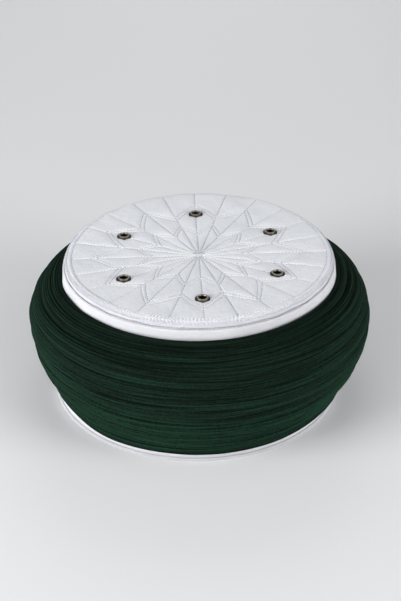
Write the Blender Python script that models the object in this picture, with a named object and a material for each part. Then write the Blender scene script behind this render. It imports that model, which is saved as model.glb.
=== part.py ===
# A wound turban: a stiff flat-topped white cap, a quilted crown with six vent eyelets, a folded
# hem band round the rim and a thick ring of dark green cloth wound in shallow folds.
# Metres, +Z up. The origin is on the table, under the middle of the wrap. The front is -Y.

import bmesh
import bpy
from math import cos, hypot, pi, radians, sin

# Fits
CLEARANCE = 0.0003

# Cap wall
RIM_RADIUS = 0.0960
SHOULDER_RADIUS = 0.0891
WALL = 0.0030
WALL_TOP = 0.0924
SHOULDER_ROUND = 0.0032
SEAM_ALLOWANCE = 0.0093

# Hem band
HEM_CLOTH = 0.0010
HEM_OUTSIDE = 0.0022
HEM_INSIDE = 0.0080

# Crown panel
CROWN_INSET = 0.0013
CROWN_THICKNESS = 0.0033
CROWN_EDGE_WIDTH = 0.0050
CROWN_EDGE_DROP = 0.0016
CROWN_UNDERCUT = 0.0010
QUILT_DEPTH = 0.0007
QUILT_LINES = 24

# Eyelets
EYELETS = 6
EYELET_RING = 0.0565
EYELET_TURN = radians(2.3)
EYELET_HOLE = 0.00235
EYELET_METAL = 0.0004
EYELET_POINT = 0.0047
EYELET_NOTCH = 0.0040
EYELET_CURL = 0.0010
EYELET_BACK = 0.0038

# Wrap
WRAP_BOTTOM = 0.0056
WRAP_TOP = 0.0853
WRAP_EDGE = 0.0011
WRAP_FULLNESS = 0.0193
WRAP_FOLD_SWELL = 0.0014
WRAP_LUMP = 0.0018
LUMP_REACH = radians(70.0)
LUMP_EDGE = 0.05

# The soft cap's stance: the rim sits to the left of the crown, whose right edge is higher.
RIM_SHIFT = -0.0026
CROWN_RISE = 0.0013

# Facets
RING_STEPS = 60
CROWN_STEPS = 2 * QUILT_LINES
EYELET_STEPS = 12
ROWS_PER_FOLD = 3

# The wrap's outline, from its lower edge to its upper edge.
# height: share of the wrap's height; fullness: share of WRAP_FULLNESS.
WRAP_OUTLINE = [
    {"height": 0.00, "fullness": 0.00},
    {"height": 0.06, "fullness": 0.15},
    {"height": 0.20, "fullness": 0.43},
    {"height": 0.35, "fullness": 0.70},
    {"height": 0.50, "fullness": 0.90},
    {"height": 0.66, "fullness": 1.00},
    {"height": 0.78, "fullness": 0.93},
    {"height": 0.87, "fullness": 0.78},
    {"height": 0.94, "fullness": 0.52},
    {"height": 0.985, "fullness": 0.18},
    {"height": 1.00, "fullness": 0.00},
]

# The creases between the wrap's main folds, from the lower edge to the upper one.
# path: share of the outline's length; sway: how far the crease wanders, as a share of the
# narrower fold beside it; turn: where round the cap it is highest, in degrees;
# swell: how far the fold above it stands out, as a share of WRAP_FOLD_SWELL.
WRAP_CREASES = [
    {"path": 0.000, "sway": 0.00, "turn": 0, "swell": 0.60},
    {"path": 0.090, "sway": 0.25, "turn": 200, "swell": 0.90},
    {"path": 0.190, "sway": 0.30, "turn": 20, "swell": 1.00},
    {"path": 0.320, "sway": 0.35, "turn": 320, "swell": 0.70},
    {"path": 0.385, "sway": 0.30, "turn": 150, "swell": 0.80},
    {"path": 0.455, "sway": 0.35, "turn": 60, "swell": 1.00},
    {"path": 0.545, "sway": 0.30, "turn": 250, "swell": 0.80},
    {"path": 0.615, "sway": 0.35, "turn": 350, "swell": 0.80},
    {"path": 0.690, "sway": 0.30, "turn": 110, "swell": 0.90},
    {"path": 0.770, "sway": 0.30, "turn": 220, "swell": 0.80},
    {"path": 0.845, "sway": 0.25, "turn": 30, "swell": 0.70},
    {"path": 0.920, "sway": 0.20, "turn": 300, "swell": 0.50},
    {"path": 1.000, "sway": 0.00, "turn": 0, "swell": 0.00},
]

# Where the wrap is fuller or flatter than its outline.
# turn: degrees round the cap; height: share of the wrap's height; reach: how far up and
# down it is felt, as such a share; swell: share of WRAP_LUMP.
WRAP_LUMPS = [
    {"turn": 40, "height": 0.90, "reach": 0.30, "swell": -0.50},
    {"turn": 150, "height": 0.90, "reach": 0.30, "swell": -1.10},
    {"turn": 200, "height": 0.25, "reach": 0.30, "swell": -0.90},
    {"turn": 215, "height": 0.14, "reach": 0.20, "swell": -0.80},
    {"turn": 190, "height": 0.60, "reach": 0.30, "swell": -0.40},
    {"turn": 340, "height": 0.16, "reach": 0.20, "swell": -0.50},
    {"turn": 345, "height": 0.45, "reach": 0.25, "swell": 0.40},
]

# Where an edge of the wrap rides up, and the folds beside it with it.
# turn: degrees round the cap; reach: degrees to either side; share: 0 for the lower edge and
# 1 for the upper one; rise: metres.
WRAP_HITCHES = [
    {"turn": 209, "reach": 36, "share": 0.0, "rise": 0.0035},
    {"turn": 300, "reach": 60, "share": 1.0, "rise": 0.0012},
]


def make_material(name, colour, roughness, metallic=0.0):
    material = bpy.data.materials.new(name)
    material.use_nodes = True
    shader = material.node_tree.nodes["Principled BSDF"]
    shader.inputs["Base Color"].default_value = (*colour, 1.0)
    shader.inputs["Roughness"].default_value = roughness
    shader.inputs["Metallic"].default_value = metallic
    material.diffuse_color = (*colour, 1.0)
    return material


def crown_radius():
    # The crown's rolled edge stands just inside the wall's shoulder.
    return SHOULDER_RADIUS - CROWN_INSET


def settle(x, y, z):
    # Moves the lower part to the left, most at the rim, and lifts the crown's right edge.
    share = z / WALL_TOP
    shift = RIM_SHIFT * (1 - share) ** 3
    lift = CROWN_RISE * share * x / crown_radius()
    return x + shift, y, z + lift


def finish(name, points, faces, material, sharp_angle):
    # One closed, settled mesh object with its faces pointing out.
    mesh = bpy.data.meshes.new(name)
    mesh.from_pydata([settle(*point) for point in points], [], faces)
    body = bmesh.new()
    body.from_mesh(mesh)
    bmesh.ops.recalc_face_normals(body, faces=body.faces)
    body.to_mesh(mesh)
    body.free()
    mesh.shade_smooth()
    mesh.set_sharp_from_angle(angle=sharp_angle)
    mesh.materials.append(material)
    solid = bpy.data.objects.new(name, mesh)
    bpy.context.scene.collection.objects.link(solid)
    return solid


def on_turn(radius, turn, height, centre=(0.0, 0.0)):
    return (centre[0] + radius * cos(turn), centre[1] + radius * sin(turn), height)


def ring_solid(name, section_at, steps, material, sharp_angle=radians(40), centre=(0.0, 0.0)):
    # A closed ring: the same number of (radius, height) points at every step of the turn.
    points = []
    faces = []
    for step in range(steps):
        turn = 2 * pi * step / steps
        section = section_at(turn)
        points += [on_turn(radius, turn, height, centre) for radius, height in section]
    count = len(points) // steps
    for step in range(steps):
        here = step * count
        ahead = (step + 1) % steps * count
        for row in range(count):
            above = (row + 1) % count
            faces.append((here + row, ahead + row, ahead + above, here + above))
    return finish(name, points, faces, material, sharp_angle)


def disc_solid(name, section_at, steps, first_turn, material, sharp_angle=radians(40)):
    # A closed disc: every section runs from the top's centre round the edge to the underside's.
    points = []
    faces = []
    for step in range(steps):
        turn = first_turn + 2 * pi * step / steps
        section = section_at(turn, step)
        points += [on_turn(radius, turn, height) for radius, height in section[1:-1]]
    count = len(points) // steps
    top = len(points)
    bottom = top + 1
    points.append((0.0, 0.0, section[0][1]))
    points.append((0.0, 0.0, section[-1][1]))
    for step in range(steps):
        here = step * count
        ahead = (step + 1) % steps * count
        faces.append((top, here, ahead))
        faces.append((here + count - 1, bottom, ahead + count - 1))
        for row in range(count - 1):
            faces.append((here + row, here + row + 1, ahead + row + 1, ahead + row))
    return finish(name, points, faces, material, sharp_angle)


def quarter_round(start, end, steps, bulge_first):
    # Points after start up to end on a quarter of an ellipse. With bulge_first it leaves
    # start along the radius and reaches end along the height, and otherwise the reverse.
    points = []
    for step in range(1, steps + 1):
        swing = pi / 2 * step / steps
        along, across = (sin(swing), 1 - cos(swing)) if bulge_first else (1 - cos(swing), sin(swing))
        points.append(
            (start[0] + (end[0] - start[0]) * along, start[1] + (end[1] - start[1]) * across)
        )
    return points


def wall_foot():
    # Outer radius of the wall at its lower edge, inside the hem band.
    return RIM_RADIUS - HEM_CLOTH - CLEARANCE


def wall_radius(height):
    # Outer radius of the cap's straight taper at a height.
    straight = WALL_TOP - SHOULDER_ROUND
    return wall_foot() + (SHOULDER_RADIUS - wall_foot()) * height / straight


def make_cap_wall(material):
    foot = HEM_CLOTH + CLEARANCE
    straight = WALL_TOP - SHOULDER_ROUND
    top_radius = SHOULDER_RADIUS - SHOULDER_ROUND
    under = WALL_TOP - WALL
    outer = [(wall_radius(foot), foot), (wall_radius(straight / 2), straight / 2)]
    outer.append((wall_radius(straight), straight))
    outer += quarter_round(outer[-1], (top_radius, WALL_TOP), 4, False)
    lip = SHOULDER_RADIUS - SEAM_ALLOWANCE
    inner_corner = SHOULDER_RADIUS - WALL
    inner = [(lip, WALL_TOP), (lip, under), (top_radius, under)]
    inner += quarter_round(inner[-1], (inner_corner, straight), 2, True)
    inner.append((wall_radius(straight / 2) - WALL, straight / 2))
    inner.append((wall_radius(foot) - WALL, foot))
    return ring_solid("cap_wall", lambda turn: outer + inner, RING_STEPS, material)


def make_hem_band(material):
    outside = RIM_RADIUS
    channel_outside = wall_radius(HEM_CLOTH) + CLEARANCE
    channel_inside = wall_radius(HEM_INSIDE) - WALL - CLEARANCE
    section = [
        (outside, 0.0),
        (outside, HEM_OUTSIDE - HEM_CLOTH / 2),
        (outside - HEM_CLOTH / 2, HEM_OUTSIDE),
        (channel_outside, HEM_OUTSIDE),
        (channel_outside, HEM_CLOTH),
        (channel_inside, HEM_CLOTH),
        (channel_inside, HEM_INSIDE),
        (channel_inside - HEM_CLOTH, HEM_INSIDE),
        (channel_inside - HEM_CLOTH, 0.0),
    ]
    return ring_solid("hem_band", lambda turn: section, RING_STEPS, material)


def crown_seat():
    return WALL_TOP + CLEARANCE


def crown_top():
    return crown_seat() + CROWN_THICKNESS


def make_crown_panel(material):
    # Every other meridian is a stitched line, and the cloth puffs up between two of them.
    flat_radius = crown_radius() - CROWN_EDGE_WIDTH
    # radius: share of the flat top's radius; sink: share of QUILT_DEPTH on a stitched line.
    rings = [
        {"radius": 0.14, "sink": 0.30},
        {"radius": 0.34, "sink": 0.70},
        {"radius": 0.56, "sink": 1.00},
        {"radius": 0.80, "sink": 1.00},
        {"radius": 0.94, "sink": 0.80},
        {"radius": 1.00, "sink": 0.00},
    ]
    edge_height = crown_top() - CROWN_EDGE_DROP

    def section_at(turn, step):
        on_line = step % 2 == 0
        section = [(0.0, crown_top() - 0.3 * QUILT_DEPTH)]
        for ring in rings:
            sink = ring["sink"] * QUILT_DEPTH if on_line else 0.0
            section.append((ring["radius"] * flat_radius, crown_top() - sink))
        section += quarter_round(section[-1], (crown_radius(), edge_height), 3, True)
        section += quarter_round(section[-1], (crown_radius() - CROWN_UNDERCUT, crown_seat()), 2, False)
        section.append((0.0, crown_seat()))
        return section

    crown = disc_solid("crown_panel", section_at, CROWN_STEPS, EYELET_TURN, material)
    cut = crown.modifiers.new("eyelet holes", "BOOLEAN")
    cut.operation = "DIFFERENCE"
    cut.object = make_hole_cutters()
    return crown


def eyelet_centre(number):
    turn = pi / 2 + EYELET_TURN + 2 * pi * number / EYELETS
    return EYELET_RING * cos(turn), EYELET_RING * sin(turn)


def make_hole_cutters():
    # Six posts, a clearance wider than the eyelets' barrels, through the whole crown.
    radius = EYELET_HOLE + EYELET_METAL + CLEARANCE
    low = crown_seat() - CROWN_THICKNESS
    high = crown_top() + CROWN_THICKNESS
    points = []
    faces = []
    for number in range(EYELETS):
        centre = eyelet_centre(number)
        first = len(points)
        for height in (low, high):
            for step in range(EYELET_STEPS):
                turn = 2 * pi * step / EYELET_STEPS
                points.append(on_turn(radius, turn, height, centre))
        faces.append([first + step for step in range(EYELET_STEPS)][::-1])
        faces.append([first + EYELET_STEPS + step for step in range(EYELET_STEPS)])
        for step in range(EYELET_STEPS):
            ahead = (step + 1) % EYELET_STEPS
            side = (first + step, first + ahead)
            faces.append((*side, side[1] + EYELET_STEPS, side[0] + EYELET_STEPS))
    cutters = finish("hole_cutters", points, faces, None, radians(40))
    cutters.hide_render = True
    cutters.display_type = "WIRE"
    return cutters


def make_eyelet(number, material):
    # A flange with six points and a rolled lip, a barrel through the crown, and a flat back.
    seat = crown_top() + CLEARANCE
    back = crown_seat() - CLEARANCE
    barrel = EYELET_HOLE + EYELET_METAL
    lip_top = seat + EYELET_CURL

    def section_at(turn):
        pointed = round(turn / (2 * pi) * EYELET_STEPS) % 2 == 0
        flange = EYELET_POINT if pointed else EYELET_NOTCH
        return [
            (EYELET_HOLE, seat + EYELET_METAL),
            (EYELET_HOLE + EYELET_METAL, lip_top),
            (EYELET_HOLE + 2 * EYELET_METAL, lip_top),
            (EYELET_NOTCH - EYELET_METAL, seat + 1.5 * EYELET_METAL),
            (flange, seat + EYELET_METAL),
            (flange, seat),
            (barrel, seat),
            (barrel, back),
            (EYELET_BACK, back),
            (EYELET_BACK, back - EYELET_METAL),
            (EYELET_HOLE, back - EYELET_METAL),
        ]

    name = "eyelet_" + str(number + 1)
    return ring_solid(name, section_at, EYELET_STEPS, material, radians(30), eyelet_centre(number))


def smooth_between(before, start, end, after, share):
    # Catmull-Rom value between start and end.
    slope_in = (end - before) / 2
    slope_out = (after - start) / 2
    square = share * share
    cube = square * share
    return (
        (2 * cube - 3 * square + 1) * start
        + (cube - 2 * square + share) * slope_in
        + (3 * square - 2 * cube) * end
        + (cube - square) * slope_out
    )


def wrap_outline_points(steps_per_row=8):
    # The smooth curve through the outline's table, as (radius, height) points.
    rows = []
    for row in WRAP_OUTLINE:
        height = WRAP_BOTTOM + row["height"] * (WRAP_TOP - WRAP_BOTTOM)
        stands_out = CLEARANCE + WRAP_EDGE + row["fullness"] * WRAP_FULLNESS
        rows.append((wall_radius(height) + stands_out, height))
    points = []
    for number in range(len(rows) - 1):
        near = [rows[max(0, min(len(rows) - 1, number + offset))] for offset in (-1, 0, 1, 2)]
        for step in range(steps_per_row):
            share = step / steps_per_row
            points.append(tuple(smooth_between(*axis, share) for axis in zip(*near)))
    points.append(rows[-1])
    return points


def place_on_outline(outline, lengths, share, rise):
    # The point at a share of the outline's length, moved out square to it by rise.
    wanted = share * lengths[-1]
    place = 1
    while place < len(lengths) - 1 and lengths[place] < wanted:
        place += 1
    start = outline[place - 1]
    end = outline[place]
    span = lengths[place] - lengths[place - 1]
    part = (wanted - lengths[place - 1]) / span
    outward = ((end[1] - start[1]) / span, (start[0] - end[0]) / span)
    radius = start[0] + (end[0] - start[0]) * part + outward[0] * rise
    height = start[1] + (end[1] - start[1]) * part + outward[1] * rise
    return radius, height


def crease_paths(turn):
    # Where each crease lies on the outline at this turn, as shares of its length.
    paths = []
    last = len(WRAP_CREASES) - 1
    for number, crease in enumerate(WRAP_CREASES):
        below = crease["path"] - WRAP_CREASES[max(0, number - 1)]["path"]
        above = WRAP_CREASES[min(last, number + 1)]["path"] - crease["path"]
        wander = crease["sway"] * min(below, above)
        paths.append(crease["path"] + wander * cos(turn - radians(crease["turn"])))
    return paths


def fade(distance, reach):
    # 1 at no distance, falling softly to 0 at the reach.
    share = min(1.0, abs(distance) / reach)
    return cos(pi / 2 * share) ** 2


def lump_swell(turn, height):
    # How far the wrap stands out from its outline here, and nothing at its two edges.
    share = (height - WRAP_BOTTOM) / (WRAP_TOP - WRAP_BOTTOM)
    swell = 0.0
    for lump in WRAP_LUMPS:
        away = (turn - radians(lump["turn"]) + pi) % (2 * pi) - pi
        near = fade(away, LUMP_REACH) * fade(share - lump["height"], lump["reach"])
        swell += lump["swell"] * WRAP_LUMP * near
    return swell * (1 - fade(share, LUMP_EDGE)) * (1 - fade(1 - share, LUMP_EDGE))


def hitch_up(turn, height):
    # How high a point of the wrap lies once its edges have ridden up.
    share = (height - WRAP_BOTTOM) / (WRAP_TOP - WRAP_BOTTOM)
    risen = height
    for hitch in WRAP_HITCHES:
        away = (turn - radians(hitch["turn"]) + pi) % (2 * pi) - pi
        near = min(1.0, max(0.0, 1 - abs(share - hitch["share"])))
        risen += hitch["rise"] * fade(away, radians(hitch["reach"])) * near ** 3
    return risen


def make_wrap_band(material):
    outline = wrap_outline_points()
    lengths = [0.0]
    for start, end in zip(outline, outline[1:]):
        lengths.append(lengths[-1] + hypot(end[0] - start[0], end[1] - start[1]))

    def section_at(turn):
        paths = crease_paths(turn)
        outer = []
        for number, crease in enumerate(WRAP_CREASES[:-1]):
            for row in range(ROWS_PER_FOLD):
                share = row / ROWS_PER_FOLD
                path = paths[number] + (paths[number + 1] - paths[number]) * share
                rise = 4 * share * (1 - share) * crease["swell"] * WRAP_FOLD_SWELL
                outer.append(place_on_outline(outline, lengths, path, rise))
        outer.append(outline[-1])
        swollen = [(radius + lump_swell(turn, height), height) for radius, height in outer]
        tuck = WRAP_EDGE / 2
        inner = []
        for height in (WRAP_TOP - tuck, (WRAP_TOP + WRAP_BOTTOM) / 2, WRAP_BOTTOM + tuck):
            inner.append((wall_radius(height) + CLEARANCE, height))
        return [(radius, hitch_up(turn, height)) for radius, height in swollen + inner]

    return ring_solid("wrap_band", section_at, RING_STEPS, material, radians(60))


def build():
    for old in list(bpy.data.objects):
        bpy.data.objects.remove(old, do_unlink=True)
    white = make_material("white cotton", (0.76, 0.78, 0.84), 0.85)
    green = make_material("green cotton", (0.010, 0.038, 0.024), 0.80)
    metal = make_material("dark metal", (0.16, 0.14, 0.12), 0.35, 1.0)
    make_cap_wall(white)
    make_hem_band(white)
    make_crown_panel(white)
    make_wrap_band(green)
    for number in range(EYELETS):
        make_eyelet(number, metal)


build()
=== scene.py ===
from functools import partial
from math import cos, pi, radians, sin, tau

import bmesh
import bpy
import numpy as np
from mathutils import Euler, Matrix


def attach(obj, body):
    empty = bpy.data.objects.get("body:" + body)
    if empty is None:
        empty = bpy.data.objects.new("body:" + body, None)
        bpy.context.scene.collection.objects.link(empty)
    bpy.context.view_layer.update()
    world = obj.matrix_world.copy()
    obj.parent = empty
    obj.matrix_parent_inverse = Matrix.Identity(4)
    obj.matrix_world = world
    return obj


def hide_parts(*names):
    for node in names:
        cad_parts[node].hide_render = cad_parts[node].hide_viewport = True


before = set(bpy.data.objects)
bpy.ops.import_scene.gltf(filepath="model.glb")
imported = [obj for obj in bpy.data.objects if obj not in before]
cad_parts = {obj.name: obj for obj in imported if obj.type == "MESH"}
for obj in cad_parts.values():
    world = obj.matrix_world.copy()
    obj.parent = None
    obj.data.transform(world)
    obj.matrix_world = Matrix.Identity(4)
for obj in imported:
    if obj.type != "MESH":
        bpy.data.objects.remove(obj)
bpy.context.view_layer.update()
print("frame loaded")


# Small tools

def fromHex(code):
    # an sRGB hex colour as the linear one that shaders and lights take
    shares = [int(code[place:place + 2], 16) / 255 for place in (1, 3, 5)]
    linear = [c / 12.92 if c <= 0.04045 else ((c + 0.055) / 1.055) ** 2.4 for c in shares]
    return (*linear, 1.0)


def feed(node, inputs):
    # an input is a value, a hex colour, another node (its first output in use) or one output
    places = inputs.items() if isinstance(inputs, dict) else enumerate(inputs)
    for place, value in places:
        if isinstance(value, bpy.types.Node):
            value = next(output for output in value.outputs if output.enabled)
        if isinstance(value, bpy.types.NodeSocket):
            node.id_data.links.new(value, node.inputs[place])
            continue
        if isinstance(value, str) and value.startswith("#"):
            value = fromHex(value)
        node.inputs[place].default_value = value


def addNode(tree, kind, inputs=(), **settings):
    # adds a node with its settings and inputs
    made = tree.nodes.new(kind)
    for name, value in settings.items():
        setattr(made, name, value)
    feed(made, inputs)
    return made


def startMaterial(name):
    # a material, what adds its nodes, its shader and its texture coordinates
    material = bpy.data.materials.new(name)
    material.use_nodes = True
    add = partial(addNode, material.node_tree)
    return material, add, material.node_tree.nodes["Principled BSDF"], add("ShaderNodeTexCoord").outputs


def startTree(name, values):
    # a Geometry Nodes tree with these named inputs, as what adds its nodes and what is given
    tree = bpy.data.node_groups.new(name, "GeometryNodeTree")
    tree.interface.new_socket("Geometry", in_out="INPUT", socket_type="NodeSocketGeometry")
    for label, value in values.items():
        kind = "NodeSocketInt" if isinstance(value, int) else "NodeSocketFloat"
        tree.interface.new_socket(label, in_out="INPUT", socket_type=kind)
    tree.interface.new_socket("Geometry", in_out="OUTPUT", socket_type="NodeSocketGeometry")
    return partial(addNode, tree), tree.nodes.new("NodeGroupInput").outputs


def endTree(add, geometry, material):
    # realized, in its material
    real = add("GeometryNodeRealizeInstances", (geometry,))
    dressed = add("GeometryNodeSetMaterial", {0: real, "Material": material})
    return add("NodeGroupOutput", (dressed,)).id_data


def settledMesh(piece):
    # the piece's mesh as its modifiers leave it
    bpy.context.view_layer.update()
    settled = piece.evaluated_get(bpy.context.evaluated_depsgraph_get())
    return bpy.data.meshes.new_from_object(settled)


def grow(name, source, makeTree, values):
    # runs a tree with these inputs on the source and keeps the result as a plain mesh
    modifier = source.modifiers.new(name, "NODES")
    modifier.node_group = makeTree(values)
    for socket in modifier.node_group.interface.items_tree:
        if socket.in_out == "INPUT" and socket.name in values:
            modifier[socket.identifier] = values[socket.name]
    mesh = settledMesh(source)
    mesh.name = name
    source.modifiers.remove(modifier)
    bpy.data.objects.remove(source)
    return addPiece(name, mesh)


def addPiece(name, data):
    piece = bpy.data.objects.new(name, data)
    bpy.context.scene.collection.objects.link(piece)
    return piece


def makeMesh(name, verts, faces, material=None):
    mesh = bpy.data.meshes.new(name)
    mesh.from_pydata(verts, [], faces)
    mesh.shade_smooth()
    if material:
        mesh.materials.append(material)
    return mesh


def store(mesh, name, values, kind="FLOAT", field="value"):
    # a number or a vector for every point of the mesh
    attribute = mesh.attributes.new(name, kind, "POINT")
    attribute.data.foreach_set(field, values.astype(np.float32).ravel())


def table(names, *rows):
    # rows of values under these names
    return [dict(zip(names.split(), row)) for row in rows]


def wander(turn, seed, waves=6, fall=0.7):
    # a smooth closed random line round the cap, about from -1 to 1
    rng = np.random.default_rng(seed)
    total = np.zeros_like(turn)
    for wave in range(1, waves + 1):
        size = rng.normal() / wave ** fall
        total += size * np.cos(wave * turn + rng.uniform(0, tau))
    return total / 1.6


def around(radius, turn, *rest):
    # points at a radius and a turn, with whatever else each holds
    return np.stack(np.broadcast_arrays(radius * np.cos(turn), radius * np.sin(turn), *rest), -1)


def ringFaces(steps, rows, closed=True, upFirst=False):
    # quads round the cap, from each row to the next; a closed section joins its last row to its first
    step, row = np.meshgrid(np.arange(steps), np.arange(rows if closed else rows - 1), indexing="ij")
    ahead, above = (step + 1) % steps, (row + 1) % rows
    corners = [(step, row), (ahead, row), (ahead, above), (step, above)]
    if upFirst:
        corners = [corners[0], *corners[:0:-1]]
    return np.stack([s * rows + r for s, r in corners], 2).reshape(-1, 4).tolist()


# The cap's main sizes and its soft stance, as in the frame, in metres
cap = {
    "rimRadius": 0.0960,
    "footRadius": 0.0947,
    "shoulderRadius": 0.0891,
    "shoulderRound": 0.0019,
    "wall": 0.0030,
    "wallTop": 0.0924,
    "lip": 0.0798,
    "gap": 0.0003,
    "rimShift": -0.0016,
    "crownRise": 0.0013,
    "backRise": 0.0021,      # how far the soft crown swells up at its back edge
    "backTurn": 100,
    "backStart": 0.012,
    "crownRadius": 0.0878,
    "crownSeat": 0.0927,
    "crownTop": 0.0960,
}


def wallRadius(height):
    straight = cap["wallTop"] - cap["shoulderRound"]
    return cap["footRadius"] + (cap["shoulderRadius"] - cap["footRadius"]) * height / straight


def lean(points):
    # the rim sits to the left, and the crown is a little higher at its right and at its back
    share = points[:, 2] / cap["wallTop"]
    shift = cap["rimShift"] * (1 - share) ** 3
    lift = cap["crownRise"] * share * points[:, 0] / cap["crownRadius"]
    back = radians(cap["backTurn"])
    reached = points[:, 0] * cos(back) + points[:, 1] * sin(back) - cap["backStart"]
    raised = np.clip(reached / (cap["crownRadius"] - cap["backStart"]), 0, 1)
    lift = lift + cap["backRise"] * raised * np.minimum(share, 1) ** 12
    return points + np.stack([shift, np.zeros_like(shift), lift], 1)


def ringMesh(name, radius, height, material=None):
    # a leaned ring from (steps, rows) arrays, with a UV map in metres: round the cap, up the cloth
    steps, rows = radius.shape
    turn = np.arange(steps)[:, None] * tau / steps
    points = lean(around(radius, turn, height).reshape(-1, 3))
    mesh = makeMesh(name, points, ringFaces(steps, rows), material)
    up = np.concatenate([[0], np.cumsum(np.hypot(np.diff(radius[0]), np.diff(height[0])))])
    last = up[-1] + np.hypot(radius[0, 0] - radius[0, -1], height[0, 0] - height[0, -1])
    up = np.append(up, last)
    across = tau * radius.max() / steps
    step, row = np.indices((steps, rows))
    corners = [(step, row), (step + 1, row), (step + 1, row + 1), (step, row + 1)]
    flat = np.stack([np.stack([s * across, up[r]], 2) for s, r in corners], 2)
    mesh.uv_layers.new(name="cloth").data.foreach_set("uv", flat.astype(np.float32).ravel())
    return mesh


def quarterRound(start, end, steps, sideFirst):
    # a quarter of an ellipse in a section, from a place to another
    swing = pi / 2 * np.arange(1, steps + 1) / steps
    along, across = np.sin(swing), 1 - np.cos(swing)
    if not sideFirst:
        along, across = across, along
    wide, tall = end[0] - start[0], end[1] - start[1]
    return [(start[0] + wide * a, start[1] + tall * b) for a, b in zip(along, across)]


# Camera, at the photograph's angle
view = {
    "place": (0.0004, -0.8034, 0.5337),
    "tilt": 59.534,
    "turn": -0.045,
    "lens": 83.87,
    "sensor": 36,
}
camera = bpy.data.cameras.new("camera")
camera.lens = view["lens"]
camera.sensor_width = view["sensor"]
cameraObject = addPiece("camera", camera)
cameraObject.location = view["place"]
cameraObject.rotation_euler = Euler((radians(view["tilt"]), 0, radians(view["turn"])))
bpy.context.scene.camera = cameraObject


# Materials

waveLength = 0.314     # a wave texture of scale 1 has bands this far apart, in metres


def makeCotton(name, colour, shade, weave, onUV):
    # Bleached cotton poplin: matt white with a cool tint, a plain weave and a little unevenness. The greyer
    # colours given for the wall's drill and the hem tape are painted shade.
    material, add, shader, coords = startMaterial(name)
    place = coords["UV" if onUV else "Object"]
    blotch = add("ShaderNodeTexNoise", {"Vector": place, "Scale": 55.0, "Detail": 3.0})
    tone = add("ShaderNodeMapRange", {0: blotch, 1: 0.3, 2: 0.7})
    mixed = add("ShaderNodeMix", {0: tone, 6: shade, 7: colour}, data_type="RGBA")
    # the rolled edge is made a little darker, a painted shade, as its side faces the low lights; the band
    # inside it is puckered by its stitches
    roll = add("ShaderNodeAttribute", attribute_name="roll").outputs["Fac"]
    band = add("ShaderNodeAttribute", attribute_name="band").outputs["Fac"]
    rollShaded = add("ShaderNodeMix", {0: roll, 6: mixed, 7: "#D2D1D5"}, data_type="RGBA", blend_type="MULTIPLY")
    # threads about 0.35 mm apart, drawn 0.7 mm apart so that they show
    weaving = {"Vector": place, "Scale": waveLength / weave, "Distortion": 0.4}
    warp, weft = (add("ShaderNodeTexWave", weaving, bands_direction=way) for way in "XY")
    woven = add("ShaderNodeMath", (warp.outputs[1], weft.outputs[1]), operation="ADD")
    lint = add("ShaderNodeTexNoise", {"Vector": place, "Scale": 1500.0, "Detail": 3.0})
    both = add("ShaderNodeMath", (woven, lint), operation="ADD")
    pucker = add("ShaderNodeTexNoise", {"Vector": place, "Scale": 520.0})
    puckered = add("ShaderNodeMath", (pucker, band), operation="MULTIPLY")
    wrinkle = add("ShaderNodeTexNoise", {"Vector": place, "Scale": 300.0, "Detail": 4.0, "Roughness": 0.6})
    soft = add("ShaderNodeMath", (wrinkle, 7.0, both), operation="MULTIPLY_ADD")
    relief = add("ShaderNodeMath", (puckered, 9.0, soft), operation="MULTIPLY_ADD")
    bump = add("ShaderNodeBump", {"Height": relief, "Strength": 0.45, "Distance": 0.0002})
    feed(shader, {
        "Base Color": rollShaded, "Normal": bump, "Roughness": 0.9, "Specular IOR Level": 0.25,
        "Sheen Weight": 0.15, "Sheen Roughness": 0.5})
    return material


def makeThread():
    # Pale polyester thread: lavender-grey end on, mixed to near white where it runs left to right, a painted
    # highlight, and grey-brown in the seam.
    material, add, shader, coords = startMaterial("polyesterThread")
    place = coords["Object"]
    across, seam, fine = (
        add("ShaderNodeAttribute", attribute_name=name).outputs["Fac"] for name in ("across", "seam", "fine"))
    uneven = add("ShaderNodeTexNoise", {"Vector": place, "Scale": 300.0})
    # painted highlight: threads running left to right are mixed to near white, as their sides catch the
    # light; the lavender-grey is partly the thread's colour and partly painted shade of the holes between
    # stitches
    turned = add("ShaderNodeMapRange", {0: across, 1: 0.45, 2: 0.9})
    colour = "#74758F"
    for share, other in ((uneven, "#9FA0B8"), (turned, "#F3F3F5"), (seam, "#ABA8AA"), (fine, "#E0E1E6")):
        colour = add("ShaderNodeMix", {0: share, 6: colour, 7: other}, data_type="RGBA")
    ply = add("ShaderNodeTexNoise", {"Vector": place, "Scale": 2500.0})
    bump = add("ShaderNodeBump", {"Height": ply, "Strength": 0.3, "Distance": 0.0001})
    feed(shader, {"Base Color": colour, "Normal": bump, "Roughness": 0.45, "Specular IOR Level": 0.6})
    return material


def makeAntiqueBrass():
    # Blackened brass: dark with a brown cast, made lighter on the curled lip and the points, a painted
    # highlight.
    material, add, shader, coords = startMaterial("blackenedBrass")
    place = coords["Object"]
    paintedHighlight = add("ShaderNodeAttribute", attribute_name="paintedHighlight").outputs["Fac"]
    stain = add("ShaderNodeTexNoise", {"Vector": place, "Scale": 900.0, "Detail": 4.0})
    paintedLightShare = add("ShaderNodeMath", (paintedHighlight, stain), operation="MULTIPLY")
    share = add("ShaderNodeMapRange", {0: paintedLightShare, 1: 0.05, 2: 0.55})
    mixed = add("ShaderNodeMix", {0: share, 6: "#433D37", 7: "#9C968E"}, data_type="RGBA")
    rough = add("ShaderNodeMapRange", (stain, 0.3, 0.7, 0.28, 0.45))
    bump = add("ShaderNodeBump", {"Height": stain, "Strength": 0.2, "Distance": 0.0001})
    feed(shader, {"Base Color": mixed, "Normal": bump, "Roughness": rough, "Metallic": 1.0})
    return material


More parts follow.
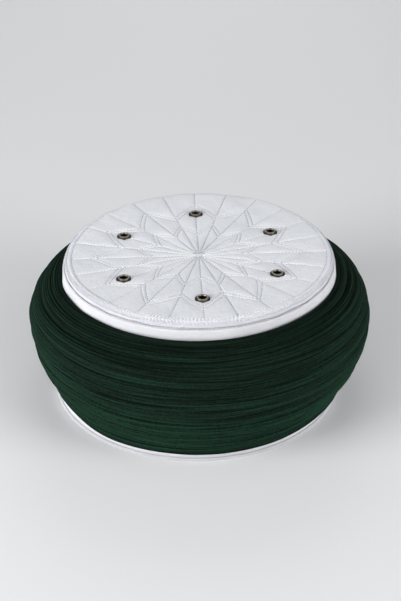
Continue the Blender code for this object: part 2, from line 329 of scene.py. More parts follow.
def makeWoundVoile():
    # Bottle-green cotton voile wound in pleats: matt and streaked along the winding, with painted shade down
    # in the creases, on the turned-under edge, on the upper turns and at the front, and painted light on the
    # lower turns.
    material, add, shader, coords = startMaterial("bottleGreenVoile")
    # wound holds a place round the cap in metres, and the way up the cloth times six in z
    wound = add("ShaderNodeAttribute", attribute_name="wound").outputs["Vector"]
    ridge = add("ShaderNodeAttribute", attribute_name="ridge").outputs["Fac"]
    apart = add("ShaderNodeSeparateXYZ", {0: wound}).outputs
    # painted light: the lower turns are made brighter, as the floor lights them, and the upper turns darker,
    # as they lie in shade
    paintedLightShare = add("ShaderNodeMapRange", {0: apart["Z"], 1: 0.05, 2: 0.55})
    longWay = add("ShaderNodeMapping", {"Vector": wound, "Scale": (12.0, 12.0, 220.0)})
    streaks = add("ShaderNodeTexNoise", {"Vector": longWay, "Scale": 1.0, "Detail": 5.0, "Roughness": 0.65})
    patches = add("ShaderNodeTexNoise", {"Vector": wound, "Scale": 18.0})
    # the open weave shows as a grain about 1 mm wide
    coarse = add("ShaderNodeMapping", {"Vector": wound, "Scale": (800.0, 800.0, 130.0)})
    grain = add("ShaderNodeTexNoise", {"Vector": coarse, "Scale": 1.0})
    mottled = add("ShaderNodeMath", (grain, 0.35, streaks), operation="MULTIPLY_ADD")
    tone = add("ShaderNodeMapRange", {0: mottled, 1: 0.58, 2: 0.79})
    low = add("ShaderNodeMix", {0: tone, 6: "#081710", 7: "#1F4231"}, data_type="RGBA")
    high = add("ShaderNodeMix", {0: tone, 6: "#050C08", 7: "#15281F"}, data_type="RGBA")
    base = add("ShaderNodeMix", {0: paintedLightShare, 6: low, 7: high}, data_type="RGBA")
    patch = add("ShaderNodeMapRange", (patches, 0.35, 0.65, 0.0, 0.25))
    faded = add("ShaderNodeMix", {0: patch, 6: base, 7: "#121C18"}, data_type="RGBA")
    # painted shade: the turned-under lower edge is made darkest, as it lies in its own shadow
    under = add("ShaderNodeMapRange", (apart["Z"], 0.012, 0.042, 0.04, 1.0))
    edgeShaded = add("ShaderNodeMix", {0: under, 6: "#020403", 7: faded}, data_type="RGBA")
    # painted shade down in the creases, from the ridge attribute
    deep = add("ShaderNodeMix", {0: ridge, 6: "#020403", 7: edgeShaded}, data_type="RGBA")
    # painted shade: the front is made a little darker than the sides
    front = add("ShaderNodeMapRange", (apart["Y"], -0.1, -0.02, 1.0, 0.0))
    kept = add("ShaderNodeMix", {0: front, 6: deep, 7: "#E1E1E1"}, data_type="RGBA", blend_type="MULTIPLY")
    # slubs along the winding, and cross threads about 0.25 mm apart, drawn 0.8 mm apart
    thin = add("ShaderNodeMapping", {"Vector": wound, "Scale": (60.0, 60.0, 700.0)})
    slubs = add("ShaderNodeTexNoise", {"Vector": thin, "Scale": 1.0, "Detail": 3.0})
    cross = add("ShaderNodeTexWave", {
        "Vector": coords["UV"], "Scale": waveLength / 0.0008, "Distortion": 0.8}, bands_direction="X")
    crossed = add("ShaderNodeMath", (cross.outputs[1], 0.35, slubs), operation="MULTIPLY_ADD")
    relief = add("ShaderNodeMath", (streaks, crossed), operation="ADD")
    bump = add("ShaderNodeBump", {"Height": relief, "Strength": 0.5, "Distance": 0.0006})
    feed(shader, {
        "Base Color": kept, "Normal": bump, "Roughness": 0.9, "Specular IOR Level": 0.06,
        "Sheen Weight": 0.04, "Sheen Roughness": 0.4, "Sheen Tint": "#4FA17A"})
    return material


def makePaperSweep():
    # Seamless backdrop paper: plain pale grey.
    material, add, shader, coords = startMaterial("backdropPaper")
    place = coords["Object"]
    soft = add("ShaderNodeTexNoise", {"Vector": place, "Scale": 1.5, "Detail": 1.0})
    mixed = add("ShaderNodeMix", {0: soft, 6: "#E5E6E8", 7: "#E8E9EB"}, data_type="RGBA")
    feed(shader, {"Base Color": mixed, "Roughness": 0.9})
    return material


poplin = makeCotton("bleachedCottonPoplin", "#EBEDF2", "#E4E7EC", 0.0007, False)
# the wall's drill and the hem tape are the same white cotton, given greyer colours as painted shade so that
# the low side lights don't make them too bright
shadedWallDrill = makeCotton("bleachedCottonDrillShaded", "#C8C8CC", "#C1C2C6", 0.0008, True)
shadedTwillTape = makeCotton("cottonTwillTapeShaded", "#B8B8BB", "#B0B0B4", 0.0006, True)
thread = makeThread()
brass = makeAntiqueBrass()
voile = makeWoundVoile()
print("materials made")


# Crown: quilted rosette

quilt = {
    "turn": 2.3,             # degrees the rosette is turned
    "lines": 24,             # stitched lines from the centre
    "lineStart": 0.0028,
    "outerStar": [(0.0703, 0.0540), (0.0668, 0.0496)],   # tip and valley radius of its two rows
    "outerBulge": 0.0006,
    "innerStar": [(0.0420, 0.0314), (0.0386, 0.0274)],
    "innerBulge": 0.0004,
    "edgeRows": [0.0834, 0.0864],
    "edgeFill": [0.0844, 0.0854, 0.0874, 0.0884, 0.0894],    # finer rows between and beside them
    "edgeCentre": (0.0, 0.0024),         # the rows sit towards the back
    "rowInset": 0.0006,      # a row ends this far from the crown's side
    "rowEnd": 0.066,         # the edge rows are in front of this, along y
    "fillEnd": -0.036,       # and the finer ones in front of this
    "fillThread": 0.64,      # a finer row's thread as a share of the others'
    "fillBreak": 9,          # and how often it starts anew
    "rowShallow": 0.0006,    # the edge rows are drawn in less than the other lines
    "seamRow": (0.0882, 0.0929),         # radius and height of the seam in the groove under the edge
    "seamThread": 1.4,
    "seamSway": 0.00015,
    "tackThread": 1.2,
    "tackReach": 0.0028,
    "tackPlace": 0.0016,
    "tackDepth": 0.0002,
    "puff": 0.00040,
    "puffReach": 0.0020,
    "channel": 0.00014,
    "channelWidth": 0.0005,
    "bandPuff": 0.00010,     # the edge band between its two rows stands a little higher
    "sag": 0.00022,
    "edgeWidth": 0.0045,
    "edgeDrop": 0.0010,
    "edgeSway": 0.00006,
    "undercut": 0.0004,
    "rollShadeWidth": 0.0022,     # the rolled edge's part with painted shade
    "rollShadeFade": 0.0020,
    "bandFade": 0.0012,
    "rings": 104,
    "rollRings": 9,
    "steps": 576,
    "stitch": 0.0022,
    "stitchShare": 0.56,
    "thread": 0.00056,
    "threadRise": 0.0001,
    "uneven": 0.25,          # how much shorter than the others a stitch may be, as a share
    "stitchSeed": 11,
}

eyelets = {
    "count": 6,
    "ring": 0.0565,
    "turn": 92.3,
    "hole": 0.0026,
    "cut": 0.0030,           # radius of the hole in the cloth
    "seat": 0.0075,          # the cloth is flat round it, from this radius in
    "seatFade": 0.0030,
    "seatDepth": 0.0004,
    "clear": 0.0052,         # no stitch comes nearer
    "metal": 0.00048,
    "point": 0.0052,
    "notch": 0.0048,
    "pointBend": 0.00040,
    "curl": 0.0014,
    "back": 0.0040,
    "steps": 72,
}


def reach(points, centre=(0, 0)):
    # how far points are from an upright line
    return np.hypot(points[:, 0] - centre[0], points[:, 1] - centre[1])


def starSide(tip, valley, tipTurn, valleyTurn, bulge, count=6):
    # one side of a star, slightly full
    start, end = around(tip, tipTurn), around(valley, valleyTurn)
    out, side = start + end, end - start
    normal = np.array([side[1], -side[0]])
    normal = normal / np.linalg.norm(normal) * np.sign(normal @ out)
    share = np.arange(count + 1)[:, None] / count
    return start + side * share + normal * bulge * 4 * share * (1 - share)


def quiltSegments():
    # the stitched lines of one 30 degree sector and its two neighbours
    lines = []
    for star, bulge, sides in (
        ("outerStar", "outerBulge", ((0, 15), (0, -15), (30, 15), (-30, -15))),
        ("innerStar", "innerBulge", ((15, 0), (-15, 0), (15, 30), (-15, -30))),
    ):
        for tip, valley in quilt[star]:
            lines += [starSide(tip, valley, radians(at), radians(to), quilt[bulge]) for at, to in sides]
    for turn in (0, 15, -15):
        ray = around(1.0, radians(turn))
        lines.append(np.array([ray * quilt["lineStart"], ray * quilt["edgeRows"][1]]))
    starts = np.concatenate([line[:-1] for line in lines])
    ends = np.concatenate([line[1:] for line in lines])
    return starts, ends


def lineDistance(points):
    # how far each point of the crown is from the nearest stitched line
    turn = np.degrees(np.arctan2(points[:, 1], points[:, 0])) - quilt["turn"]
    place = around(reach(points), np.radians((turn + 15) % 30 - 15))
    nearest = np.full(len(points), 1.0)
    for start, end in zip(*quiltSegments()):
        side = end - start
        share = np.clip((place - start) @ side / (side @ side), 0, 1)
        nearest = np.minimum(nearest, np.linalg.norm(place - start - share[:, None] * side, axis=1))
    fromEdge = reach(points, quilt["edgeCentre"])
    nearest = np.where(fromEdge > quilt["edgeRows"][0], 1.0, nearest)
    for row in quilt["edgeRows"]:
        nearest = np.minimum(nearest, np.abs(fromEdge - row) + quilt["rowShallow"])
    return nearest


def crownHeight(points):
    # the quilted top: puffed between the lines, drawn down on them
    distance = lineDistance(points)
    puffed = quilt["puff"] * (1 - np.exp(-distance / quilt["puffReach"]))
    drawn = quilt["channel"] * np.exp(-(distance / quilt["channelWidth"]) ** 2)
    # slow waves of the cloth, in millimetres
    x, y = points[:, 0] * 1000, points[:, 1] * 1000
    soft = np.sin(x / 7.3 + 1.1) * np.sin(y / 6.1 + 0.4) + np.sin(x / 12.7 - y / 9.1)
    soft = soft + 0.6 * np.sin(x / 3.9 + y / 4.7)
    height = cap["crownTop"] - quilt["puff"] + puffed - drawn + quilt["sag"] * soft / 2.0
    inner, outer = quilt["edgeRows"]
    across = np.clip((reach(points, quilt["edgeCentre"]) - inner) / (outer - inner), 0, 1)
    height = height + quilt["bandPuff"] * np.sin(pi * across) ** 0.7
    flatEnd = cap["crownRadius"] - quilt["edgeWidth"]
    over = np.clip((reach(points) - flatEnd) / quilt["edgeWidth"], 0, 1)
    height = height - quilt["edgeDrop"] * (1 - np.sqrt(1 - over ** 2))
    for centre in eyeletCentres():
        near = np.clip((eyelets["seat"] - reach(points, centre)) / eyelets["seatFade"], 0, 1)
        near = near * near * (3 - 2 * near)
        height = height * (1 - near) + (cap["crownTop"] - eyelets["seatDepth"]) * near
    return height


def eyeletCentres():
    return around(eyelets["ring"], np.radians(eyelets["turn"] + 60 * np.arange(eyelets["count"])))


def makeCrown():
    flatEnd = cap["crownRadius"] - quilt["edgeWidth"]
    steps, rings, rollRings = quilt["steps"], quilt["rings"], quilt["rollRings"]
    radii = flatEnd * np.arange(1, rings + 1) / rings
    turn = radians(quilt["turn"]) + np.arange(steps) * tau / steps
    edge = (cap["crownRadius"], cap["crownTop"] - quilt["edgeDrop"])
    rolled = quarterRound((flatEnd, cap["crownTop"]), edge, rollRings, True)
    rolled += quarterRound(rolled[-1], (cap["crownRadius"] - quilt["undercut"], cap["crownSeat"]), 5, False)
    rolled.append((cap["crownRadius"] / 2, cap["crownSeat"]))
    rolled = np.array(rolled)
    points = around(np.append(radii, rolled[:, 0]), turn[:, None])
    high = crownHeight(points.reshape(-1, 2)).reshape(steps, -1)
    high[:, rings:rings + rollRings] += wander(turn, 5, 30, 0.2)[:, None] * quilt["edgeSway"]
    high[:, rings + rollRings:] = rolled[rollRings:, 1]
    rows = high.shape[1]
    verts = np.concatenate([points, high[:, :, None]], 2).reshape(-1, 3)
    middle = [[0, 0, high[:, 0].mean()], [0, 0, cap["crownSeat"]]]
    verts = lean(np.concatenate([verts, middle]))
    faces = ringFaces(steps, rows, closed=False, upFirst=True)
    top, bottom = len(verts) - 2, len(verts) - 1
    for here in range(steps):
        there = (here + 1) % steps
        faces.append((top, here * rows, there * rows))
        faces.append((bottom, there * rows + rows - 1, here * rows + rows - 1))
    mesh = makeMesh("crown", verts, faces, poplin)
    bandStart = quilt["edgeRows"][0] - quilt["rowShallow"]
    store(mesh, "band", np.clip((reach(verts, quilt["edgeCentre"]) - bandStart) / quilt["bandFade"], 0, 1))
    # where the cotton material paints shade on the rolled edge
    rollShadeStart = cap["crownRadius"] - quilt["rollShadeWidth"]
    store(mesh, "roll", np.clip((reach(verts) - rollShadeStart) / quilt["rollShadeFade"], 0, 1))
    crown = addPiece("quiltedCrown", mesh)
    cutter = makeHoleCutter()
    cut = crown.modifiers.new("holes", "BOOLEAN")
    cut.operation = "DIFFERENCE"
    cut.object = cutter
    holed = settledMesh(crown)
    crown.modifiers.clear()
    crown.data = holed
    bpy.data.objects.remove(cutter)
    return crown


def makeHoleCutter():
    body = bmesh.new()
    radius = eyelets["cut"]
    for x, y in eyeletCentres():
        made = bmesh.ops.create_cone(
            body, cap_ends=True, segments=32, radius1=radius, radius2=radius, depth=0.02)
        bmesh.ops.translate(body, verts=made["verts"], vec=(x, y, cap["crownTop"]))
    mesh = bpy.data.meshes.new("holes")
    body.to_mesh(mesh)
    body.free()
    return addPiece("holes", mesh)


def stitchLines():
    # every stitched line of the crown: points in the plane, and how thick its thread is
    lines = []
    rng = np.random.default_rng(17)
    middle = np.array(quilt["edgeCentre"])
    for number in range(quilt["lines"]):
        ray = around(1.0, radians(quilt["turn"] + 15 * number))
        end = middle @ ray + np.sqrt(quilt["edgeRows"][0] ** 2 - middle @ middle + (middle @ ray) ** 2)
        out = np.arange(quilt["lineStart"] + rng.uniform(0, quilt["stitch"]), end, 0.001)
        lines.append((out[:, None] * ray, 1.0))
    for rows, first, bulge in (("outerStar", 0, "outerBulge"), ("innerStar", 15, "innerBulge")):
        for tip, valley in quilt[rows]:
            star = []
            for number in range(12):
                at = radians(quilt["turn"] + first + 30 * number)
                side = starSide(tip, valley, at, at + radians(15), quilt[bulge], 12)
                back = starSide(tip, valley, at + radians(30), at + radians(15), quilt[bulge], 12)[::-1]
                star += [side[:-1], back[:-1]]
            star = np.concatenate(star)
            lines.append((np.concatenate([star, star[:1]]), 1.0))
    for row in quilt["edgeRows"] + quilt["edgeFill"]:
        finer = row in quilt["edgeFill"]
        points = middle + row * around(1.0, np.linspace(0, tau, 401) + rng.uniform(0, 0.03))
        shown = reach(points) < cap["crownRadius"] - quilt["rowInset"]
        shown = shown & (points[:, 1] < quilt["fillEnd" if finer else "rowEnd"])
        firstOff = int(np.argmin(shown))
        run = np.roll(points[:-1], -firstOff, 0)[np.roll(shown[:-1], -firstOff)]
        if not finer:
            lines.append((run, 1.0))
            continue
        # a finer row starts anew every few stitches, so that the rows don't line up
        cuts = np.sort(rng.choice(len(run), len(run) // quilt["fillBreak"], replace=False))
        lines += [(part, quilt["fillThread"]) for part in np.split(run, cuts)]
    return lines


def stitchTree(values):
    # one rounded stitch every pitch along each line; a line's radius says how thick its thread is
    add, given = startTree("stitchesAlongLines", values)
    points = add("GeometryNodeCurveToPoints", {
        "Curve": given["Geometry"], "Length": given["Pitch"]}, mode="LENGTH")
    # how far each stitch runs left to right; the thread material mixes it to near white, a painted highlight,
    # and the stitch is made longer and fuller with it
    along = add("ShaderNodeSeparateXYZ", {0: points.outputs["Tangent"]})
    across = add("ShaderNodeMath", (along.outputs["X"],), operation="ABSOLUTE")
    thick = add("GeometryNodeInputRadius")
    # a thread under 0.95 is a finer row's, pale all the way, and one over 1.1 is the seam's
    fine = add("ShaderNodeMath", (thick, 0.95), operation="LESS_THAN")
    across = add("ShaderNodeMath", (across, fine), operation="MAXIMUM")
    seam = add("ShaderNodeMath", (thick, 1.1), operation="GREATER_THAN")
    marked = points
    for name, value in {"across": across, "seam": seam, "fine": fine}.items():
        marked = add("GeometryNodeStoreNamedAttribute", {
            "Geometry": marked, "Name": name, "Value": value}, data_type="FLOAT", domain="POINT")
    bead = add("GeometryNodeMeshUVSphere", {"Segments": 6, "Rings": 5, "Radius": 0.5})
    smooth = add("GeometryNodeSetShadeSmooth", (bead,))
    shrink = add("ShaderNodeMath", (1.0, given["Unevenness"]), operation="SUBTRACT")
    share = add("FunctionNodeRandomValue", {
        2: shrink, 3: 1.0, "Seed": given["Seed"]}, data_type="FLOAT")
    longer = add("ShaderNodeMapRange", (across, 0.45, 0.9, 1.0, 1.75))
    fuller = add("ShaderNodeMapRange", (across, 0.45, 0.9, 1.0, 1.1))
    long, wide = given["Stitch length"], given["Thread width"]
    for factor in (share, thick, longer):
        long = add("ShaderNodeMath", (long, factor), operation="MULTIPLY")
    for factor in (thick, fuller):
        wide = add("ShaderNodeMath", (wide, factor), operation="MULTIPLY")
    size = add("ShaderNodeCombineXYZ", (wide, wide, long))
    placed = add("GeometryNodeInstanceOnPoints", {
        "Points": marked, "Instance": smooth, "Rotation": points.outputs["Rotation"], "Scale": size})
    return endTree(add, placed, thread)


def makeStitches():
    data = bpy.data.curves.new("stitchLines", "CURVE")
    data.dimensions = "3D"
    for line, thick in stitchLines():
        run = np.column_stack([line, crownHeight(line) + quilt["threadRise"]])
        clear = np.min([reach(line, centre) for centre in eyeletCentres()], 0) > eyelets["clear"]
        ends = np.flatnonzero(np.diff(clear)) + 1
        for part, free in zip(np.split(run, ends), np.split(clear, ends)):
            if len(part) > 2 and free[0]:
                addSpline(data, part, thick)
    turn = np.linspace(0, tau, 401)
    radius, height = quilt["seamRow"]
    seam = around(radius, turn, height + quilt["seamSway"] * wander(turn, 31, 40, 0.1))
    addSpline(data, seam, quilt["seamThread"])
    # the tack that closes the rosette's centre
    out, tackHeight = quilt["tackReach"], cap["crownTop"] - quilt["tackDepth"]
    tack = [(out * share, quilt["tackPlace"], tackHeight) for share in (-1, -0.5, 0, 0.5, 1)]
    addSpline(data, tack, quilt["tackThread"])
    return grow("crownStitches", addPiece("stitchLines", data), stitchTree, {
        "Pitch": quilt["stitch"], "Stitch length": quilt["stitch"] * quilt["stitchShare"],
        "Thread width": quilt["thread"], "Unevenness": quilt["uneven"], "Seed": quilt["stitchSeed"]})


def addSpline(data, run, thick):
    run = lean(np.array(run))
    spline = data.splines.new("POLY")
    spline.points.add(len(run) - 1)
    spline.points.foreach_set("co", np.column_stack([run, np.ones(len(run))]).astype(np.float32).ravel())
    spline.points.foreach_set("radius", np.full(len(run), thick, np.float32))


crown = makeCrown()
crownStitches = makeStitches()
print("crown quilted")


# Eyelets: six, pressed through the crown

def makeEyeletSource():
    # a flange with six points turned down, a curled lip, a barrel and the flattened back
    steps = eyelets["steps"]
    turn = np.arange(steps) * tau / steps
    hole, metal, curl = eyelets["hole"], eyelets["metal"], eyelets["curl"]
    pointed = np.abs(np.cos(3 * turn)) ** 5
    flange = eyelets["notch"] + (eyelets["point"] - eyelets["notch"]) * pointed
    bend = eyelets["pointBend"] * pointed
    top = cap["crownTop"] - eyelets["seatDepth"]
    under = cap["crownSeat"] - cap["gap"]
    # the lip: shares of the metal's thickness out and of the curl's height up
    section = [(hole + out * metal, top + up * curl) for out, up in (
        (0, 0.2), (0.05, 0.7), (0.6, 0.95), (1.3, 1), (2.0, 0.93), (2.6, 0.72), (2.9, 0.48))]
    section += [
        ((flange + hole + 3 * metal) / 2, top + 0.36 * curl - bend * 0.3),
        (flange - 0.0001, top + 0.28 * curl - bend * 0.9),
        (flange, top + 0.16 * curl - bend),
        (flange - 0.0002, top + 0.04 * curl - bend),
        (hole + metal, top), (hole + metal, under), (eyelets["back"], under),
        (eyelets["back"], under - metal), (hole, under - metal), (hole, cap["crownSeat"])]
    radius, height = (np.stack([0 * turn + place[way] for place in section], 1) for way in (0, 1))
    verts = around(radius, turn[:, None], height).reshape(-1, 3)
    mesh = makeMesh("eyelet", verts, ringFaces(steps, len(section), upFirst=True))
    # how much painted highlight each row of the section takes, from the lip to the back
    paintedHighlight = np.array([0.2, 0.9, 1, 1, 1, 0.8, 0.4, 0.15, 0.5, 0.5, 0, 0, 0, 0, 0, 0, 0])
    store(mesh, "paintedHighlight", np.tile(paintedHighlight, steps))
    body = bmesh.new()
    body.from_mesh(mesh)
    bmesh.ops.recalc_face_normals(body, faces=body.faces)
    body.to_mesh(mesh)
    body.free()
    mesh.set_sharp_from_angle(angle=radians(50))
    return addPiece("eyeletSource", mesh)


def eyeletTree(values):
    # the same eyelet at even turns round the crown, as high as the leaned crown is there
    add, given = startTree("eyeletsRoundCrown", values)
    ring = add("GeometryNodePoints", {"Count": given["Count"]})
    index = add("GeometryNodeInputIndex")
    apart = add("ShaderNodeMath", (tau, given["Count"]), operation="DIVIDE")
    swing = add("ShaderNodeMath", (index, apart, given["First turn"]), operation="MULTIPLY_ADD")
    x = add("ShaderNodeMath", (swing,), operation="COSINE")
    y = add("ShaderNodeMath", (swing,), operation="SINE")
    away = add("ShaderNodeCombineXYZ", (x, y))
    place = add("ShaderNodeVectorMath", {0: away, "Scale": given["Ring radius"]}, operation="SCALE")
    slope = add("ShaderNodeSeparateXYZ", (place,)).outputs
    lift = add("ShaderNodeMath", (slope[0], given["Rise"]), operation="MULTIPLY")
    toBack = add("ShaderNodeMath", (swing, given["Back turn"]), operation="SUBTRACT")
    toBack = add("ShaderNodeMath", (toBack,), operation="COSINE")
    reached = add("ShaderNodeMath", (toBack, given["Ring radius"]), operation="MULTIPLY")
    raised = add("ShaderNodeMapRange", (
        reached, given["Back start"], given["Back end"], 0.0, given["Back rise"]))
    lift = add("ShaderNodeMath", (lift, raised), operation="ADD")
    seat = add("ShaderNodeCombineXYZ", (slope[0], slope[1], lift))
    moved = add("GeometryNodeSetPosition", {0: ring, "Position": seat})
    facing = add("ShaderNodeCombineXYZ", {2: swing})
    turned = add("FunctionNodeEulerToRotation", (facing,))
    placed = add("GeometryNodeInstanceOnPoints", {
        "Points": moved, "Instance": given["Geometry"], "Rotation": turned})
    return endTree(add, placed, brass)


ventEyelets = grow("ventEyelets", makeEyeletSource(), eyeletTree, {
    "Count": eyelets["count"], "Ring radius": eyelets["ring"],
    "First turn": radians(eyelets["turn"]), "Rise": cap["crownRise"] / cap["crownRadius"],
    "Back turn": radians(cap["backTurn"]), "Back start": cap["backStart"],
    "Back end": cap["crownRadius"], "Back rise": cap["backRise"]})
print("eyelets set")


# Cap wall and hem tape

wall = {
    "steps": 360,
    "rows": 40,
    "insideRows": 24,
    "foot": 0.0013,
    "unevenness": 0.00035,
    "evenTop": 0.0004,       # the unevenness fades out below the top by this
    "evenFoot": 0.009,       # and above the foot by this
    "fade": 0.004,
}


def makeWall():
    straight = cap["wallTop"] - cap["shoulderRound"]
    topRadius = cap["shoulderRadius"] - cap["shoulderRound"]
    under = cap["wallTop"] - cap["wall"]
    section = [(wallRadius(h), h) for h in np.linspace(wall["foot"], straight, wall["rows"])]
    section += quarterRound(section[-1], (topRadius, cap["wallTop"]), 10, False)
    section += [(cap["lip"], cap["wallTop"]), (cap["lip"], under), (topRadius, under)]
    section += quarterRound((topRadius, under), (cap["shoulderRadius"] - cap["wall"], straight), 5, True)
    inside = np.linspace(straight, wall["foot"], wall["insideRows"])[1:]
    section += [(wallRadius(h) - cap["wall"], h) for h in inside]
    steps = wall["steps"]
    turn = np.arange(steps)[:, None] * tau / steps
    radius, height = np.repeat(np.array(section).T[:, None], steps, 1)
    soft = wander(turn, 21, 14, 0.5) * np.sin(height * 60 + 1) + wander(turn, 22, 20, 0.4) * 0.5
    near = np.clip((cap["wallTop"] - wall["evenTop"] - height) / wall["fade"], 0, 1)
    near = near * np.clip((height - wall["evenFoot"]) / wall["fade"], 0, 1)
    return addPiece("capWall", ringMesh("wall", radius + soft * wall["unevenness"] * near, height, shadedWallDrill))


hem = {
    "cloth": 0.0010,
    "outside": 0.0018,
    "inside": 0.0080,
    "steps": 360,
}


def makeHem():
    outside, cloth, inside = cap["rimRadius"], hem["cloth"], hem["inside"]
    channelOut = wallRadius(cloth) + cap["gap"]
    channelIn = wallRadius(inside) - cap["wall"] - cap["gap"]
    within = channelIn - cloth
    lip, lipTop = wallRadius(hem["outside"]), hem["outside"]
    section = [
        (outside - 0.0004, 0.0), (outside - 0.0001, 0.0001), (outside, 0.0005),
        (lip + 0.0006, lipTop - 0.0003), (lip + 0.0005, lipTop - 0.0001), (lip + 0.0003, lipTop),
        (lip, lipTop - 0.0001), (channelOut, lipTop - 0.0004),
        (channelOut, cloth), (channelIn, cloth), (channelIn, inside),
        (channelIn - 0.0005, inside + 0.0001), (within, inside - 0.0004),
        (within, 0.004), (within, 0.0004), (within + 0.0003, 0.0)]
    radius, height = np.repeat(np.array(section).T[:, None], hem["steps"], 1)
    return addPiece("hemTape", ringMesh("hem", radius, height, shadedTwillTape))


capWall = makeWall()
hemTape = makeHem()
print("wall and hem made")


# Wrap: long cloth wound in narrow folds

wrap = {
    "bottom": 0.0056,
    "top": 0.0853,
    "edge": 0.0011,
    "fullness": 0.0193,
    "foldSwell": 0.0014,
    "lump": 0.0018,
    "lumpReach": radians(70),
    "lumpEdge": 0.05,
    "steps": 320,
    "small": 5,              # narrow folds in each main fold
    "foldRows": [0.0, 0.14, 0.36, 0.64, 0.86],   # rows of the mesh across a narrow fold
    "backRows": 5,
    "creaseDepth": 0.0013,
    "mainDepth": 0.0021,
    "mainSway": 0.12,
    "smallSpread": 0.75,     # how much the narrow folds differ in width
    "bulge": 0.21,
    "tilt": 0.22,
    "ripple": 0.0003,
    "rippleScale": 70.0,
    "seed": 7,
    "woundRadius": 0.105,      # the material's own ring, so that streaks follow the winding
    "woundStretch": 6,
}

# height: share of the wrap's height; full: share of its fullness
wrapOutline = [
    (0.00, 0.00), (0.06, 0.15), (0.20, 0.43), (0.35, 0.70), (0.50, 0.90), (0.66, 1.00),
    (0.78, 0.93), (0.87, 0.78), (0.94, 0.52), (0.985, 0.18), (1.00, 0.00),
]

# path: share of the way up the cloth; sway: share of the narrower fold beside it; turn: degrees
# where it is highest; swell: how full the fold above it is; deep: how deep a gap it leaves and how much
# painted shade the material puts in it
mainCreases = table(
    "path sway turn swell deep",
    (0.000, 0.00, 0, 0.60, 0.0),
    (0.090, 0.25, 200, 0.90, 0.4),
    (0.190, 0.30, 20, 1.00, 0.5),
    (0.320, 0.35, 320, 0.70, 0.9),
    (0.385, 0.30, 150, 0.80, 0.7),
    (0.455, 0.35, 60, 1.00, 0.9),
    (0.545, 0.30, 250, 0.80, 0.4),
    (0.615, 0.35, 350, 0.80, 0.8),
    (0.690, 0.30, 110, 0.90, 0.8),
    (0.770, 0.30, 220, 0.80, 0.3),
    (0.845, 0.25, 30, 0.70, 0.7),
    (0.920, 0.20, 300, 0.50, 1.0),
    (1.000, 0.00, 0, 0.00, 0.0),
)

# turn in degrees, height and reach as shares of the wrap's height, swell as a share of lump
wrapLumps = table(
    "turn height reach swell",
    (40, 0.90, 0.30, -0.85),
    (152, 0.88, 0.30, -1.20),
    (200, 0.25, 0.30, -0.50),
    (214, 0.14, 0.20, -0.80),
    (190, 0.60, 0.30, -0.40),
    (191, 0.53, 0.13, -0.70),
    (340, 0.16, 0.20, -0.60),
    (337, 0.22, 0.12, -0.70),
    (250, 0.10, 0.12, 0.60),
    (345, 0.45, 0.25, 0.40),
)

# where an edge rides up: share 0 is the lower edge and 1 the upper; reach in degrees, rise in metres
wrapHitches = table(
    "turn reach share rise",
    (207, 29, 0.0, 0.0030),
    (238, 22, 0.0, -0.0004),
    (326, 26, 0.0, 0.0012),
    (300, 60, 1.0, 0.0012),
    (155, 55, 1.0, -0.0009),
    (238, 50, 1.0, 0.0009),
    (25, 50, 1.0, -0.0008),
)


def wrapOutlinePoints(perRow=8):
    # the smooth curve through the outline's table
    tall = wrap["top"] - wrap["bottom"]
    rows = []
    for share, full in wrapOutline:
        height = wrap["bottom"] + share * tall
        rows.append((wallRadius(height) + cap["gap"] + wrap["edge"] + full * wrap["fullness"], height))
    rows = np.array(rows)
    points = []
    for number in range(len(rows) - 1):
        before, start = rows[max(0, number - 1)], rows[number]
        end, after = rows[number + 1], rows[min(len(rows) - 1, number + 2)]
        for share in np.arange(perRow) / perRow:
            square, cube = share ** 2, share ** 3
            point = (2 * cube - 3 * square + 1) * start + (cube - 2 * square + share) * (end - before) / 2
            points.append(point + (3 * square - 2 * cube) * end + (cube - square) * (after - start) / 2)
    points.append(rows[-1])
    return np.array(points)


def fade(distance, span):
    # 1 at no distance, falling softly to 0 at the span
    share = np.minimum(1, np.abs(distance) / span)
    return np.cos(pi / 2 * share) ** 2


def turnFrom(turn, degrees):
    # the shorter way round from an angle given in degrees
    return (turn - radians(degrees) + pi) % tau - pi


def riseShare(height):
    return (height - wrap["bottom"]) / (wrap["top"] - wrap["bottom"])


def lumpSwell(turn, height):
    share = riseShare(height)
    swell = np.zeros_like(height)
    for lump in wrapLumps:
        near = fade(turnFrom(turn, lump["turn"]), wrap["lumpReach"])
        swell += lump["swell"] * wrap["lump"] * (near * fade(share - lump["height"], lump["reach"]))
    return swell * (1 - fade(share, wrap["lumpEdge"])) * (1 - fade(1 - share, wrap["lumpEdge"]))


def hitchUp(turn, height):
    # an edge rides up, and the folds beside it with it
    share = riseShare(height)
    for hitch in wrapHitches:
        near = np.clip(1 - np.abs(share - hitch["share"]), 0, 1)
        reached = fade(turnFrom(turn, hitch["turn"]), radians(hitch["reach"]))
        height = height + hitch["rise"] * reached * near ** 3
    return height


